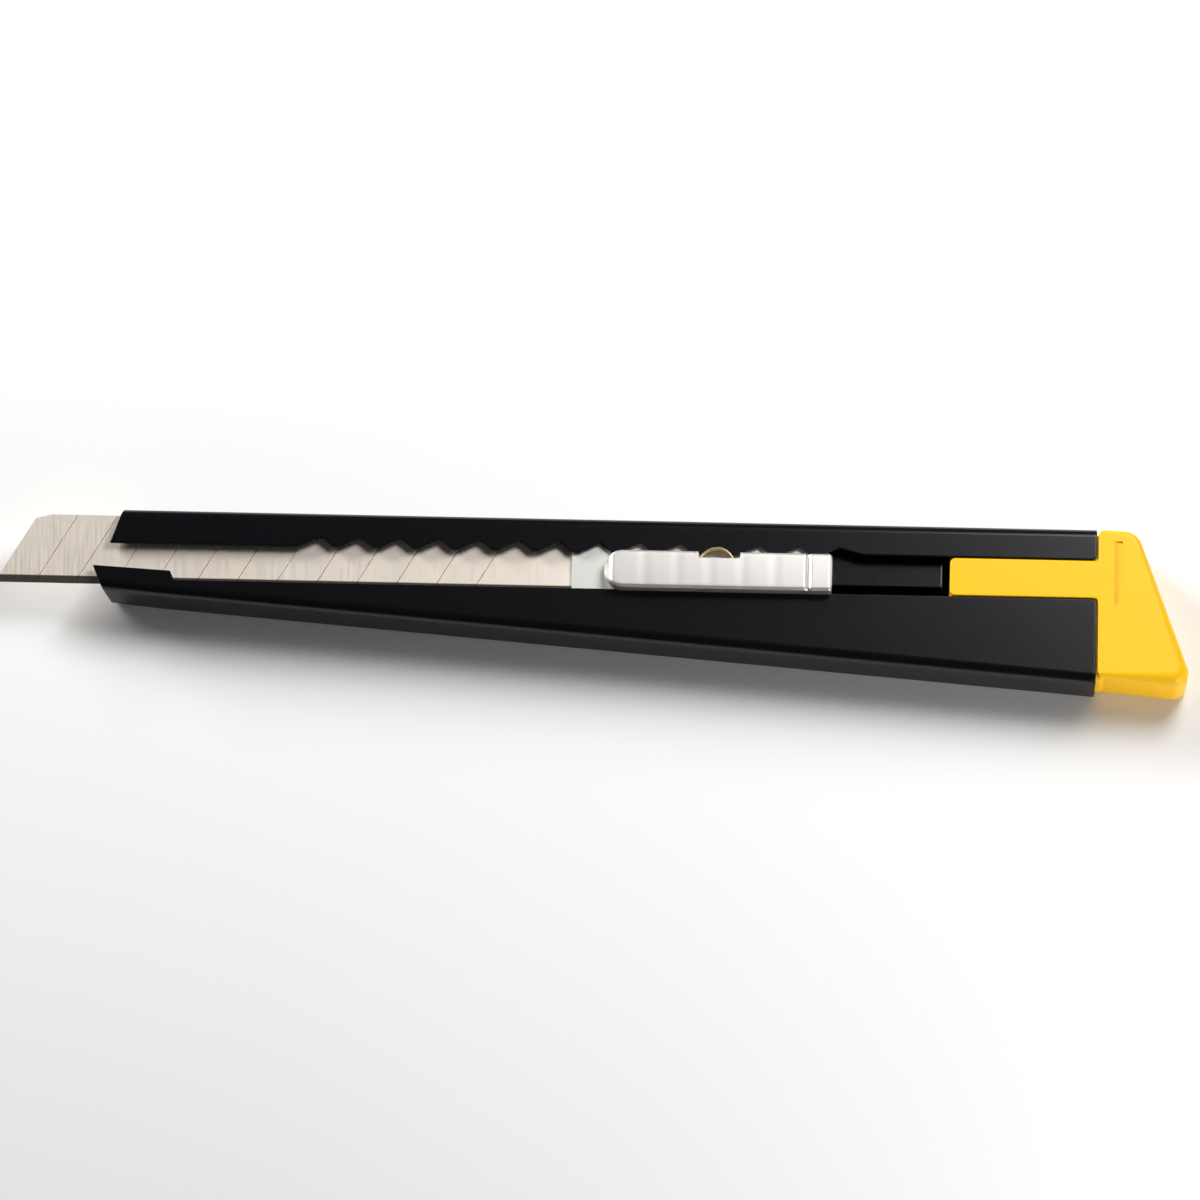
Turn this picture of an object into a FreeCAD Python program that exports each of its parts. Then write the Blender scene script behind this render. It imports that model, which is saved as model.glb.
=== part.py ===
import FreeCAD, Part

import math
import os

# Snap-off knife with a folded steel channel for a body.
# Sizes in mm.  It is drawn with x = 0 at the front tip of the lower lip, x growing towards the
# end cap, y = 0 on the outside of the straight top wall (the rest lies at negative y) and z = 0
# on the outside of the back.  The last step moves everything to the middle of its footprint.

# ---- driving dimensions -------------------------------------------------------------------

# folded body
bodyLength = 126.2
rearWidth = 20.4           # outside, at x = bodyLength
bladeEdgeRoom = 0.88       # from the cutting edge to the lower wall's outside, at x = 0
bodyDepth = 7.2
sheet = 0.6
bendRadius = 1.2           # outside of the four long bends
slotTop = 4.6              # from the top wall's outside to the upper lip's edge
lipOverBlade = 0.32        # the lower lip covers this much of the cutting edge
slotRearRise = 0.35        # the slot is this much wider behind the notches
slotCorner = 0.5
upperLipStart = 2.1        # front end of the upper lip, at its edge
lipSlant = 70.7            # degrees, front edge of the upper lip
tabHeight = 1.75           # front tab of the lower lip, above the slot's lower edge
tabRise = 3.2              # degrees, the tab's edge falls towards the slot
tabLength = 9.7
tabFoot = [1.0, 0.5]       # run and radius of the step at the tab's rear
tabCornerRadius = 0.4
tabLevelAhead = 3.5        # that corner is as high as the sloping edge this far ahead of it
tipRun = 1.2               # from the lower lip's tip to its lower corner
tipLean = 0.4              # lean of that front edge past the lower wall, over an overlap
lipTipCut = [0.4, 0.5]     # how far the upper lip's front cut goes past its edge
noseSetBack = 1.3          # the back starts this far behind the lower lip's corner
noseSlant = 78.0           # degrees, front edge of the back

# notches in the upper lip
firstNotch = 28.75         # x of the first notch's root
homeNotchRoom = 14.0       # at least this far from the last notch's root to the cap's tongue
notchDepth = 1.25
toothFlat = 0.8            # flat tip between two notches, before its corners are rounded
notchSteep = 1.55          # run of a notch's steep flank, on the cap's side
notchRootRadius = 0.3
toothRadius = 0.7          # at the end of the flat between two notches
toothRearRadius = 0.35     # at its start
homeNotchRadius = 1.1
homeNotchFlank = 1.9       # the last notch's steep flank runs this many times as far

# pressed rib that carries the blade
ribGap = 0.22              # between the rib's top and the blade
ribTopWidth = 5.2
ribFlank = 0.9             # how far each flank leans out on its way down
ribFrontGap = 9.0          # from the lower lip's tip
ribRearGap = 0.9           # to the cap's tongue
ribRadius = 0.5

# blade
bladeWidth = 9.0
bladeThickness = 0.38
bladeLength = 80.0
segmentPitch = 5.0
segmentCount = 12
scoreAngle = 60.0
scoreDepth = 0.14
scoreWidth = 0.16
bevelWidth = 0.95
edgeThickness = 0.04
tipChamfer = [1.76, 0.55]
tailHole = 2.6
tailHoleInset = 3.4        # from the slanted tail end, along the blade

# slider
notchesFromHome = 3        # how far the slider stands from its rearmost notch
carrierThickness = 0.5
carrierNose = 4.05         # the carrier reaches this far ahead of the thumb piece
pinInset = 1.55            # from the carrier's front to the blade pin
carrierInset = 0.45         # its upper edge below the blade's, clear of the channel's bend
carrierCorner = 1.0
carrierRearInset = 0.4     # its rear end ahead of the thumb piece's
knobLength = 28.6          # from the foot of its sloping nose
springFromNose = 14.45     # from that foot to the spring
knobOverLip = 0.21         # the thumb piece covers this much of the lower lip
knobHeight = 1.8           # above the lips
knobWall = 0.7
knobNoseSlope = 1.1
knobNoseShare = 0.45       # corner radius of the nose, as a share of the width
knobRearRadius = 0.35
knobEdge = 0.35
knobTopInset = 0.11        # the thumb piece's upper side from the upper lip's teeth
neckClearance = 0.15
neckInset = [0.6, 0.3]     # of the part in the slot, at the nose and at the rear
neckRadius = [1.2, 0.3]
gripGrooveCount = 5
gripGroovePitch = 4.1
firstGripGroove = 5.05     # from the foot of the nose
gripGrooveDepth = 0.12
gripGrooveRadius = 6.0
rearGrooveFromEnd = 3.0
rearGrooveRadius = 0.45
rearGrooveDepth = 0.27
springWindow = [5.25, 0.92]
rivetDiameter = 1.6
rivetSpacing = 22.0
rivetHead = [2.4, 0.3]
rivetShare = 0.6           # the rivets reach this share of the thumb piece's height
pinClearance = 0.1
spigotDepth = 0.3

# detent spring
springSideRoom = 0.64      # the loop is this much smaller than the thumb piece's width
springStrip = 0.2
springHeight = 1.4
springLeg = 6.0
springFoot = 0.72          # the legs leave the loop at this share of its radius

# end cap
capHeadLength = 4.9        # along its straight top edge, before the corner is rounded
capEndSlant = 20.0         # degrees, from square
capTopInset = 0.15
capBottomInset = 1.05      # from the channel's outside, at the channel's end
capBottomFall = 6.05       # degrees
capCorners = [0.9, 2.45, 1.8, 0.4]
capEdge = 0.8
capTongueLength = 18.45
capTongueCorner = 0.6
capTongueRoot = 0.5        # the tongue reaches this far down into the plug
capFit = 0.08              # clearance of the plug in the channel
capGap = 0.15              # between the channel's end and the head
capDrop = 0.05             # the cap's face lies this far below the lips
snapSlit = [10.0, 1.0, 6.0]  # along the end face, across it and deep
snapSlitFromTop = 4.4
capRecess = [1.05, 8.4, 0.25]
capRecessCorner = 0.2
capRecessPlace = [2.2, 1.55]   # from the channel's end and from the cap's top edge

# clearances between pieces that move on each other
runningGap = 0.1
bladeGap = 0.12

# how far cutting tools reach past what they cut
overlap = 1.0
beyond = 5.0

# ---- sizes that follow --------------------------------------------------------------------

lipInside = bodyDepth - sheet
carrierTop = lipInside - runningGap
bladeTop = carrierTop - carrierThickness
bladeBack = bladeTop - bladeThickness
bladeUpperEdge = sheet + bladeGap
bladeLowerEdge = bladeUpperEdge + bladeWidth
bladeMiddle = bladeUpperEdge + bladeWidth / 2
scoreRun = bladeWidth / math.tan(math.radians(scoreAngle))
frontWidth = bladeLowerEdge + bladeEdgeRoom
taper = math.atan2(rearWidth - frontWidth, bodyLength)
slotBottom = bladeLowerEdge - lipOverBlade
ribHeight = bladeBack - ribGap
tongueFront = bodyLength - capTongueLength
capStart = bodyLength + capGap
notchPitch = segmentPitch
notchCount = int((tongueFront - homeNotchRoom - firstNotch) / notchPitch + 0.001) + 1
springCentreX = firstNotch + (notchCount - 1 - notchesFromHome) * notchPitch
knobFront = springCentreX - springFromNose
knobRear = knobFront + knobLength
carrierFront = knobFront - carrierNose
tailHoleX = carrierFront + pinInset
bladeTip = tailHoleX + scoreRun / 2 + tailHoleInset - bladeLength
knobTop = bodyDepth + knobHeight
knobUpperSide = slotTop + knobTopInset
knobWidth = slotBottom + knobOverLip - knobUpperSide
knobNoseRadius = knobNoseShare * knobWidth
springLoop = knobWidth - springSideRoom   # outside diameter
knobUnderside = bodyDepth + runningGap
rivetLength = rivetShare * knobHeight + sheet    # above the carrier
neckUpper = slotTop + neckClearance
neckLower = slotBottom - neckClearance


def vec(x, y, z=0.0):
    return FreeCAD.Vector(x, y, z)


def bodyWidthAt(x):
    """Outside width of the channel, which grows evenly towards the cap."""
    return frontWidth + x * math.tan(taper)


def roundedWire(corners, z=0.0):
    """Closed outline through corners (x, y, radius), each rounded by an arc of its radius."""
    edges = []
    ends = []
    count = len(corners)
    for i in range(count):
        before = vec(*corners[i - 1][:2], z)
        here = vec(*corners[i][:2], z)
        after = vec(*corners[(i + 1) % count][:2], z)
        radius = corners[i][2]
        back = (before - here).normalize()
        on = (after - here).normalize()
        if radius <= 0:
            ends.append((here, here))
            continue
        half = back.getAngle(on) / 2
        reach = radius / math.tan(half)
        start = here + back * reach
        end = here + on * reach
        middle = here + (back + on).normalize() * (radius / math.sin(half) - radius)
        ends.append((start, end))
        edges.append((i, Part.Arc(start, middle, end).toShape()))
    arcs = dict(edges)
    path = []
    for i in range(count):
        if i in arcs:
            path.append(arcs[i])
        start = ends[i][1]
        end = ends[(i + 1) % count][0]
        if start.distanceToPoint(end) > 1e-6:
            path.append(Part.LineSegment(start, end).toShape())
    return Part.Wire(path)


def slab(corners, low, high):
    """Rounded outline in x and y, from height low to height high."""
    return Part.Face(roundedWire(corners, low)).extrude(vec(0, 0, high - low))


def boxBetween(x0, x1, y0, y1, z0, z1):
    return Part.makeBox(x1 - x0, y1 - y0, z1 - z0, vec(x0, y0, z0))


def filletWhere(shape, radius, test):
    """Round every edge for which test(edge) holds."""
    chosen = [edge for edge in shape.Edges if test(edge)]
    return shape.makeFillet(radius, chosen)


def alongX(edge):
    """True for a straight edge that runs along the knife, taper included."""
    run = edge.Vertexes[-1].Point - edge.Vertexes[0].Point
    return abs(run.z) < 1e-6 and abs(run.x) > 0.9 * edge.Length


# ---- body -----------------------------------------------------------------------------------

def taperedPrism(start, end, wall, low, high, radius):
    """Inside or outside of the folded tube: walls moved in by wall, long edges rounded."""
    slope = math.tan(taper)
    lower = wall / math.cos(taper)
    corners = [
        (start, -wall, 0),
        (end, -wall, 0),
        (end, -(frontWidth + end * slope) + lower, 0),
        (start, -(frontWidth + start * slope) + lower, 0),
    ]
    prism = slab(corners, low, high)
    return filletWhere(prism, radius, alongX)


def slotOutline():
    """The slot between the lips, with its notches, front tab and open ends."""
    rearTop = -(slotTop - slotRearRise)
    tabTop = -(slotBottom - tabHeight)
    tipFall = math.tan(math.radians(tabRise))
    footRun, footRadius = tabFoot
    corners = [
        (-beyond, -slotTop, 0),
        (firstNotch - notchPitch + notchSteep + toothFlat, -slotTop, toothRadius),
    ]
    for k in range(notchCount):
        root = firstNotch + k * notchPitch
        last = k == notchCount - 1
        radius = homeNotchRadius if last else notchRootRadius
        corners.append((root, -slotTop + notchDepth, radius))
        if last:
            corners.append((root + notchSteep * homeNotchFlank, rearTop, toothRadius))
        else:
            corners.append((root + notchSteep, -slotTop, toothRearRadius))
            corners.append((root + notchSteep + toothFlat, -slotTop, toothRadius))
    flare = slotCorner
    corners += [
        (bodyLength - flare, rearTop, 0),
        (bodyLength + flare, rearTop + 2 * flare, 0),
        (bodyLength + flare, -slotBottom - 2 * flare, 0),
        (bodyLength - flare, -slotBottom, 0),
        (tabLength + footRun, -slotBottom, footRadius),
        (tabLength, tabTop - tipFall * (tabLength - tabLevelAhead), tabCornerRadius),
        (-beyond, tabTop + tipFall * beyond, 0),
    ]
    return corners


def makeBody():
    outer = taperedPrism(0, bodyLength, 0, 0, bodyDepth, bendRadius)
    inner = taperedPrism(
        -beyond, bodyLength + beyond, sheet, sheet, lipInside, bendRadius - sheet)
    body = outer.cut(inner)
    body = body.fuse(makeRib(0)).cut(makeRib(sheet))
    body = body.cut(slab(slotOutline(), lipInside - sheet, bodyDepth + sheet))
    for tool in noseCuts():
        body = body.cut(tool)
    return body.removeSplitter()


def makeRib(inset):
    """Long bead pressed in from the back; inset is the sheet for the hollow behind it."""
    half = ribTopWidth / 2 - inset
    foot = half + ribFlank
    rear = tongueFront - ribRearGap - inset
    front = ribFrontGap + inset
    low = -inset
    high = ribHeight - inset
    lean = ribFlank
    lower = roundedWire(
        [
            (front - lean, -bladeMiddle + foot, ribRadius),
            (rear + lean, -bladeMiddle + foot, ribRadius),
            (rear + lean, -bladeMiddle - foot, ribRadius),
            (front - lean, -bladeMiddle - foot, ribRadius),
        ],
        low,
    )
    upper = roundedWire(
        [
            (front, -bladeMiddle + half, ribRadius),
            (rear, -bladeMiddle + half, ribRadius),
            (rear, -bladeMiddle - half, ribRadius),
            (front, -bladeMiddle - half, ribRadius),
        ],
        high,
    )
    return Part.makeLoft([lower, upper], True)


def noseCuts():
    """What is cut away in front of the slanting front edges."""
    low = lipInside - sheet
    high = bodyDepth + sheet
    lean = 1.0 / math.tan(math.radians(lipSlant))
    pastX, pastY = lipTipCut
    upperLip = slab(
        [
            (-beyond, overlap, 0),
            (upperLipStart + lean * (slotTop + overlap), overlap, 0),
            (upperLipStart, -slotTop, 0),
            (upperLipStart - pastX, -slotTop - pastY, 0),
            (-beyond, -slotTop - pastY, 0),
        ],
        low,
        high,
    )
    tabTop = -(slotBottom - tabHeight)
    past = -frontWidth - overlap
    lowerLip = slab(
        [
            (-beyond, tabTop, 0),
            (0, tabTop, 0),
            (tipRun, -frontWidth, 0),
            (tipRun + tipLean, past, 0),
            (-beyond, past, 0),
        ],
        low,
        high,
    )
    # the side walls and the back end on a slanting face, further back at the back
    across = (frontWidth + 2 * overlap) / math.tan(math.radians(noseSlant))
    wires = []
    for y, shift in ((past, 0), (overlap, across)):
        points = [
            vec(-beyond, y, -overlap),
            vec(tipRun + noseSetBack + shift, y, -overlap),
            vec(tipRun + shift, y, lipInside),
            vec(-beyond, y, lipInside),
        ]
        wires.append(Part.makePolygon(points + points[:1]))
    return [upperLip, lowerLip, Part.makeLoft(wires, True)]


# ---- blade ----------------------------------------------------------------------------------

def bladeSection(length):
    """Plain strip with both faces ground to the cutting edge, x from 0 to length."""
    edge = edgeThickness / 2
    middle = (bladeTop + bladeBack) / 2
    top = -bladeUpperEdge
    bevel = -(bladeLowerEdge - bevelWidth)
    tip = -bladeLowerEdge
    points = [
        vec(0, top, bladeBack),
        vec(0, top, bladeTop),
        vec(0, bevel, bladeTop),
        vec(0, tip, middle + edge),
        vec(0, tip, middle - edge),
        vec(0, bevel, bladeBack),
    ]
    return Part.Face(Part.makePolygon(points + points[:1])).extrude(vec(length, 0, 0))


def slantedCell(left, right):
    """Parallelogram between two score lines, given by their x at the cutting edge."""
    run = scoreRun * overlap / bladeWidth
    low = -bladeLowerEdge - overlap
    high = -bladeUpperEdge + overlap
    lean = scoreRun + run
    return slab(
        [(left - run, low, 0), (right - run, low, 0), (right + lean, high, 0), (left + lean, high, 0)],
        bladeBack - overlap,
        bladeTop + overlap,
    )


def scoreGroove(x):
    """V groove along one score line, in the front face."""
    run = scoreRun * overlap / bladeWidth
    half = scoreWidth / 2
    low = vec(x - run, -bladeLowerEdge - overlap, bladeTop)
    high = vec(x + scoreRun + run, -bladeUpperEdge + overlap, bladeTop)
    section = Part.makePolygon(
        [low + vec(-half, 0, 0.001), low + vec(half, 0, 0.001), low + vec(0, 0, -scoreDepth),
         low + vec(-half, 0, 0.001)]
    )
    return Part.Face(section).extrude(high - low)


def makeBlade():
    """One solid for each segment and one for the tail, face to face along the score lines."""
    tip = bladeTip
    strip = bladeSection(bladeLength + 2 * overlap)
    strip.translate(vec(tip - overlap, 0, 0))
    lines = [tip + segmentPitch * k for k in range(segmentCount + 1)]
    for x in lines[1:]:
        strip = strip.cut(scoreGroove(x))
    pieces = {}
    for k in range(segmentCount):
        piece = strip.common(slantedCell(lines[k], lines[k + 1]))
        if k == 0:
            piece = piece.cut(tipCorner(tip))
        pieces["blade_segment_%02d" % (k + 1)] = piece
    tail = strip.common(slantedCell(lines[-1], tip + bladeLength - scoreRun))
    hole = Part.makeCylinder(
        tailHole / 2, bladeThickness + 2 * overlap, vec(tailHoleX, -bladeMiddle, bladeBack - overlap))
    pieces["blade_tail"] = tail.cut(hole)
    return pieces


def tipCorner(tip):
    """Small flat where the tip's slanted front meets the back of the blade."""
    corner = tip + scoreRun
    along, down = tipChamfer
    lean = down / math.tan(math.radians(scoreAngle))
    top = -bladeUpperEdge
    return slab(
        [(corner - 2 * overlap, top + overlap, 0), (corner + along, top + overlap, 0),
         (corner + along, top, 0), (corner - lean, top - down, 0),
         (corner - 2 * overlap, top - down, 0)],
        bladeBack - overlap,
        bladeTop + overlap,
    )


# ---- slider ---------------------------------------------------------------------------------

def rivetPlaces():
    middle = (knobFront + knobRear) / 2
    y = -(neckUpper + neckLower) / 2
    return [(middle - rivetSpacing / 2, y), (middle + rivetSpacing / 2, y)]


def makeCarrier():
    """Plate that runs under both lips and carries the blade."""
    upper = bladeUpperEdge + carrierInset
    rear = knobRear - carrierRearInset
    plate = slab(
        [
            (carrierFront, -upper, carrierCorner),
            (rear, -upper, carrierCorner),
            (rear, -upper - bladeWidth, carrierCorner),
            (carrierFront, -upper - bladeWidth, carrierCorner),
        ],
        bladeTop,
        carrierTop,
    )
    pin = tailHole - 2 * pinClearance
    socket = Part.makeCylinder(
        pin / 4, spigotDepth + overlap, vec(tailHoleX, -bladeMiddle, bladeTop - overlap))
    plate = plate.cut(socket)
    for x, y in rivetPlaces():
        plate = plate.cut(Part.makeCylinder(
            rivetDiameter / 2, carrierThickness + 2 * overlap, vec(x, y, bladeTop - overlap)))
    return plate


def makeBladePin():
    """Peg that fills the blade's tail hole, with a spigot riveted into the carrier."""
    pin = tailHole - 2 * pinClearance
    x = tailHoleX
    length = bladeThickness + runningGap
    peg = Part.makeCylinder(pin / 2, length, vec(x, -bladeMiddle, bladeTop - length))
    spigot = Part.makeCylinder(pin / 4, spigotDepth, vec(x, -bladeMiddle, bladeTop))
    return peg.fuse(spigot).removeSplitter()


def makeKnob():
    """Pressed thumb piece: a hollow cap over the slot, whose skirt stands on the carrier."""
    nose = knobNoseSlope
    foot = roundedWire(knobCorners(0), knobUnderside)
    crown = roundedWire(knobCorners(nose), knobTop)
    top = Part.makeLoft([foot, crown], True)
    top = filletWhere(top, knobEdge, lambda e: e.BoundBox.ZMin > knobTop - 1e-4)
    neck = slab(neckOutline(0), carrierTop, knobUnderside)
    knob = top.fuse(neck)
    for k in range(gripGrooveCount):
        x = knobFront + firstGripGroove + k * gripGroovePitch
        knob = knob.cut(gripGroove(x, gripGrooveRadius, gripGrooveDepth))
    knob = knob.cut(gripGroove(knobRear - rearGrooveFromEnd, rearGrooveRadius, rearGrooveDepth))
    hollow = slab(neckOutline(knobWall), carrierTop, knobTop - knobWall)
    knob = knob.cut(hollow)
    width, depth = springWindow
    window = boxBetween(
        springCentreX - width / 2, springCentreX + width / 2,
        -knobUpperSide - depth, -slotTop + 2 * overlap, carrierTop - overlap, knobTop + overlap,
    )
    knob = knob.cut(window)
    for x, y in rivetPlaces():
        boss = Part.makeCylinder(rivetDiameter, knobTop - knobWall - carrierTop, vec(x, y, carrierTop))
        hole = Part.makeCylinder(rivetDiameter / 2, rivetLength, vec(x, y, carrierTop))
        knob = knob.fuse(boss).cut(hole)
    return knob.removeSplitter()


def knobCorners(slope):
    upper = -knobUpperSide
    lower = upper - knobWidth
    front = knobFront + slope
    return [
        (front, upper, knobNoseRadius),
        (knobRear, upper, knobRearRadius),
        (knobRear, lower, knobRearRadius),
        (front, lower, knobNoseRadius),
    ]


def neckOutline(inset):
    """Part of the thumb piece in the slot, or with an inset the hollow inside it."""
    front = knobFront + neckInset[0] + inset
    rear = knobRear - neckInset[1] - inset
    upper = -neckUpper - inset
    lower = -neckLower + inset
    tail = neckRadius[1]
    nose = max(neckRadius[0] - inset, tail)
    return [(front, upper, nose), (rear, upper, tail), (rear, lower, tail), (front, lower, nose)]


def gripGroove(x, radius, depth):
    """Shallow round groove across the thumb piece."""
    z = knobTop + radius - depth
    start = -knobUpperSide - knobWidth - overlap
    return Part.makeCylinder(radius, knobWidth + 2 * overlap, vec(x, start, z), vec(0, 1, 0))


def makeRivets():
    """Two rivets that clamp the thumb piece to the carrier."""
    width, high = rivetHead
    solids = []
    for x, y in rivetPlaces():
        shank = Part.makeCylinder(
            rivetDiameter / 2, rivetLength + carrierThickness, vec(x, y, bladeTop))
        head = Part.makeCylinder(width / 2, high, vec(x, y, bladeTop - high))
        solids.append(shank.fuse(head).removeSplitter())
    return Part.makeCompound(solids)


def springNest():
    """The loop's middle from its notch's root: a running gap clear of both flanks."""
    gentleRun = notchPitch - notchSteep - toothFlat
    steep = math.atan2(notchDepth, notchSteep)
    gentle = math.atan2(notchDepth, gentleRun)
    reach = springLoop / 2 + runningGap
    # distances to both flanks equal reach: two lines through the notch's root
    a, b = math.sin(steep), math.cos(steep)
    c, d = -math.sin(gentle), math.cos(gentle)
    det = a * d - b * c
    x = (-reach * d + reach * b) / det
    y = (-reach * a + reach * c) / det
    return x, y


def makeSpring():
    """Strip bent to a loop that clicks into the notches, with a leg each way in the slider."""
    offset, drop = springNest()
    centreX = springCentreX + offset
    centreY = -slotTop + notchDepth + drop
    low = carrierTop
    outer = springLoop / 2
    inner = outer - springStrip
    at = vec(centreX, centreY, low)
    ring = Part.makeCylinder(outer, springHeight, at).cut(Part.makeCylinder(inner, springHeight, at))
    legTop = centreY - outer * springFoot
    ring = ring.cut(
        boxBetween(centreX - outer, centreX + outer, centreY - 2 * outer, legTop,
                   low - overlap, low + springHeight + overlap))
    half = math.sqrt(outer ** 2 - (outer * springFoot) ** 2)
    legs = [
        boxBetween(centreX - half - springLeg, centreX - half + springStrip,
                   legTop - springStrip, legTop, low, low + springHeight),
        boxBetween(centreX + half - springStrip, centreX + half + springLeg,
                   legTop - springStrip, legTop, low, low + springHeight),
    ]
    return ring.fuse(legs).removeSplitter()


# ---- end cap --------------------------------------------------------------------------------

def capHeadCorners():
    top = -capTopInset
    slant = math.tan(math.radians(capEndSlant))
    fall = math.tan(math.radians(capBottomFall))
    bottom = -(bodyWidthAt(bodyLength) - capBottomInset)
    right = capStart + capHeadLength
    # the bottom edge and the slanted end meet at this height
    run = (capHeadLength + slant * (top - bottom)) / (1 - slant * fall)
    y = bottom - fall * run
    return [
        (capStart, top, capCorners[0]),
        (right, top, capCorners[1]),
        (capStart + run, y, capCorners[2]),
        (capStart, bottom, capCorners[3]),
    ]


def makeCap():
    """Moulded cap: a head beyond the channel, a plug inside it and a tongue in its slot."""
    corners = capHeadCorners()
    head = slab(corners, 0, bodyDepth - capDrop)
    head = filletWhere(
        head, capEdge,
        lambda e: abs(e.BoundBox.ZLength) < 1e-6 and e.BoundBox.XMax > capStart + 0.01)
    front = tongueFront
    plug = taperedPrism(
        front, capStart, sheet + capFit, sheet + capFit, lipInside - capFit,
        bendRadius - sheet)
    rearTop = -(slotTop - slotRearRise)
    tongue = slab(
        [
            (front, rearTop - capFit, capTongueCorner),
            (capStart + overlap, rearTop - capFit, 0),
            (capStart + overlap, -slotBottom + capFit, 0),
            (front, -slotBottom + capFit, capTongueCorner),
        ],
        lipInside - capFit - capTongueRoot,
        bodyDepth - capDrop,
    )
    cap = head.fuse([plug, tongue])
    cap = cap.cut(makeSnapSlit(corners)).cut(makeCapRecess(corners))
    return cap.removeSplitter()


def makeSnapSlit(corners):
    """Slit in the slanted end face that takes one blade segment."""
    length, width, depth = snapSlit
    top = vec(corners[1][0], corners[1][1])
    low = vec(corners[2][0], corners[2][1])
    down = (low - top).normalize()
    inward = vec(down.y, -down.x)
    start = top + down * snapSlitFromTop
    outside = start - inward * (2 * overlap)
    ends = [outside, outside + down * length,
            start + down * length + inward * depth, start + inward * depth]
    return slab([(p.x, p.y, 0) for p in ends], (bodyDepth - width) / 2, (bodyDepth + width) / 2)


def makeCapRecess(corners):
    """Shallow upright panel on the cap's front face."""
    width, height, depth = capRecess
    corner = capRecessCorner
    x = bodyLength + capRecessPlace[0]
    y = corners[0][1] - capRecessPlace[1]
    return slab(
        [(x, y, corner), (x + width, y, corner), (x + width, y - height, corner),
         (x, y - height, corner)],
        bodyDepth - capDrop - depth,
        bodyDepth + overlap,
    )


# ---- the whole knife ------------------------------------------------------------------------

def main():
    parts = {
        "body_channel": makeBody(),
        "end_cap": makeCap(),
        "slider_knob": makeKnob(),
        "blade_carrier": makeCarrier(),
        "blade_pin": makeBladePin(),
        "slider_rivets": makeRivets(),
        "detent_spring": makeSpring(),
    }
    parts.update(makeBlade())
    box = FreeCAD.BoundBox()
    for shape in parts.values():
        box.add(shape.optimalBoundingBox(False))
    move = vec(-(box.XMin + box.XMax) / 2, -(box.YMin + box.YMax) / 2, -box.ZMin)
    os.makedirs("parts", exist_ok=True)
    for name, shape in parts.items():
        shape.translate(move)
        bounds = shape.BoundBox
        print(
            "%-18s valid %s solids %d volume %9.3f  x %8.3f %8.3f  y %8.3f %8.3f  z %7.3f %7.3f"
            % (name, shape.isValid(), len(shape.Solids), shape.Volume, bounds.XMin, bounds.XMax,
               bounds.YMin, bounds.YMax, bounds.ZMin, bounds.ZMax))
        shape.exportStep(os.path.join("parts", name + ".step"))
    print("moved by", move)


main()
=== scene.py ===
import math

import bpy
import numpy as np
from mathutils import Matrix, Vector


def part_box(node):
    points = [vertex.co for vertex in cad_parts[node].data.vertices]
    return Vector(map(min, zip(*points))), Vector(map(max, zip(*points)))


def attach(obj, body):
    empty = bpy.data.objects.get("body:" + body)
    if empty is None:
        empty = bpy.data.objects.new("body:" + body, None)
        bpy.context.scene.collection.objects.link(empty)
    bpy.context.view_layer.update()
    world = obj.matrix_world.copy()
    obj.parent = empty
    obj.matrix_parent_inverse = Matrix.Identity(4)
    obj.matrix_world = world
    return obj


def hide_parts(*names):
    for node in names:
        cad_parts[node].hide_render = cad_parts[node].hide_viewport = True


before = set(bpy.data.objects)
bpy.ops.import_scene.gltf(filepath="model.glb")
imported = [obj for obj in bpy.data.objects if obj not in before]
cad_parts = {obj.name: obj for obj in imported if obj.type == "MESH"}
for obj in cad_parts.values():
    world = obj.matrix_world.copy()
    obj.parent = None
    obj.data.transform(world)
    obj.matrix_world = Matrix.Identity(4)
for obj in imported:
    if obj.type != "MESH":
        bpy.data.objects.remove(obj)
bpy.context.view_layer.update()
print("frame loaded")

# Every piece is worked out in millimetres in the knife's own measure: x from the front tip of
# the lower lip towards the cap, down from the outside of the straight top wall, and z up from
# the outside of the back.  toFrame turns x, down, z into metres in the frame.
bodyLow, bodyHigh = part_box("body_channel")
startX = bodyLow.x * 1000
topY = bodyHigh.y * 1000


def toFrame(x, down, z):
    x, down, z = np.broadcast_arrays(x, down, z)
    return np.stack([x + startX, topY - down, z], -1) / 1000


def nodeBox(name):
    # x0, x1, down0, down1, z0, z1 of a node in the knife's own measure
    low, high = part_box(name)
    return (low.x * 1000 - startX, high.x * 1000 - startX, topY - high.y * 1000,
            topY - low.y * 1000, low.z * 1000, high.z * 1000)


bladeMiddle = sum(nodeBox("blade_tail")[2:4]) / 2


def smoothMin(a, b, reach):
    # the lower of two values, the corner between them rounded over the difference reach
    near = np.maximum(reach - np.abs(a - b), 0)
    return np.minimum(a, b) - near * near / (4 * reach)


def smoothMax(a, b, reach):
    return -smoothMin(-a, -b, reach)


def smoothStep(x, start, end):
    # 0 before start, 1 after end, and t * t * (3 - 2 t) between them
    t = np.clip((x - start) / (end - start), 0, 1)
    return t * t * (3 - 2 * t)


def newPiece(name, points, blocks):
    # blocks are arrays of faces, one row of point numbers for each face
    mesh = bpy.data.meshes.new(name)
    faces = [row for block in blocks for row in np.asarray(block).tolist()]
    mesh.from_pydata(np.asarray(points).reshape(-1, 3).tolist(), [], faces)
    mesh.update()
    piece = bpy.data.objects.new(name, mesh)
    bpy.context.scene.collection.objects.link(piece)
    return turnOut(piece)


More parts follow.
